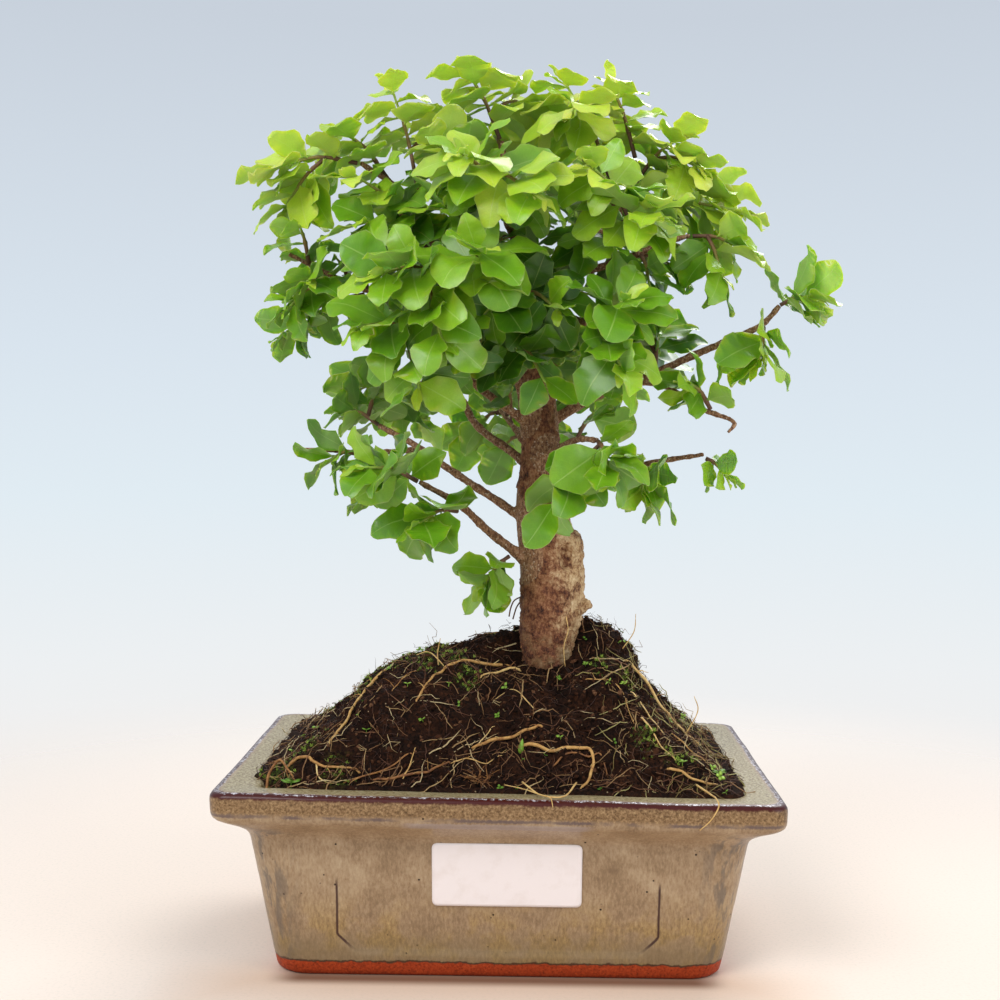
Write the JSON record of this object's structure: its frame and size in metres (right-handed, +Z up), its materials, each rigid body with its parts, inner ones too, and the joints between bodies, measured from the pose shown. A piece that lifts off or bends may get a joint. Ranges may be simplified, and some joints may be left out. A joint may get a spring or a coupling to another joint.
{
  "type": "chinese privet bonsai in a pot",
  "caption": "Small privet tree with a stout trunk, thin twigs and waved opposite leaves, on a mound of soil with bare roots in a low rectangular glazed pot with a flared rim and a blank label.",
  "frame": {"origin": "on the plane that the pot's foot stands on, under the middle of the whole object's bounding box, crown included", "axes": "+Z up along the tree, +X along the pot's long side to the right in the picture, -Y towards the viewer, out of the long wall with the label"},
  "size_m": [0.217, 0.1666, 0.3203],
  "materials": {
    "glazed_stoneware": "glossy olive-beige glaze with a bare terracotta foot",
    "drain_mesh_plastic": "matte",
    "label_paper": "smooth coated paper, blank",
    "soil": "rough, damp and fibrous",
    "bark": "rough bark",
    "root_bark": "dry and fibrous",
    "leaf": "satin leaf"
  },
  "bodies": {
    "root": {"pot": "glazed_stoneware", "drain_mesh_left": "drain_mesh_plastic", "drain_mesh_right": "drain_mesh_plastic", "label": "label_paper", "soil": "soil", "wood": "bark", "root_front": "root_bark", "root_front_loop": "root_bark", "root_left_corner": "root_bark", "root_left_short": "root_bark", "root_left_slope": "root_bark", "root_left_upper": "root_bark", "root_right_arch": "root_bark", "root_right_corner": "root_bark", "spray_01_lower_left": "leaf", "spray_02_lower_left": "leaf", "spray_03_lower_left": "leaf", "spray_04_left": "leaf", "spray_05_left_bare": "leaf", "spray_06_left_bare": "leaf", "spray_07_left_back": "leaf", "spray_08_left_front": "leaf", "spray_09_mid_left": "leaf", "spray_10_mid_left": "leaf", "spray_11_mid_left": "leaf", "spray_12_upper_left": "leaf", "spray_13_upper_left": "leaf", "spray_14_upper_left": "leaf", "spray_15_upper_left": "leaf", "spray_16_upper_left": "leaf", "spray_17_leader": "leaf", "spray_18_leader": "leaf", "spray_19_upper_right": "leaf", "spray_20_upper_right": "leaf", "spray_21_upper_right": "leaf", "spray_22_upper_right": "leaf", "spray_23_mid_right": "leaf", "spray_24_mid_right": "leaf", "spray_25_far_right": "leaf", "spray_26_far_right": "leaf", "spray_27_far_right": "leaf", "spray_28_right_hook": "leaf", "spray_29_low_right": "leaf", "spray_30_low_right": "leaf", "spray_31_front_low": "leaf", "spray_32_front_twig": "leaf", "spray_33_front_twig": "leaf", "spray_34_front_right": "leaf", "spray_35_front_left": "leaf", "spray_36_front_left": "leaf", "spray_37_front_top": "leaf", "spray_38_front_up_right": "leaf", "spray_39_back_low": "leaf", "spray_40_back_right": "leaf", "spray_41_back_left": "leaf", "spray_42_back_left": "leaf", "spray_43_back_top": "leaf", "spray_44_back_up_right": "leaf"}
  },
  "joints": []
}
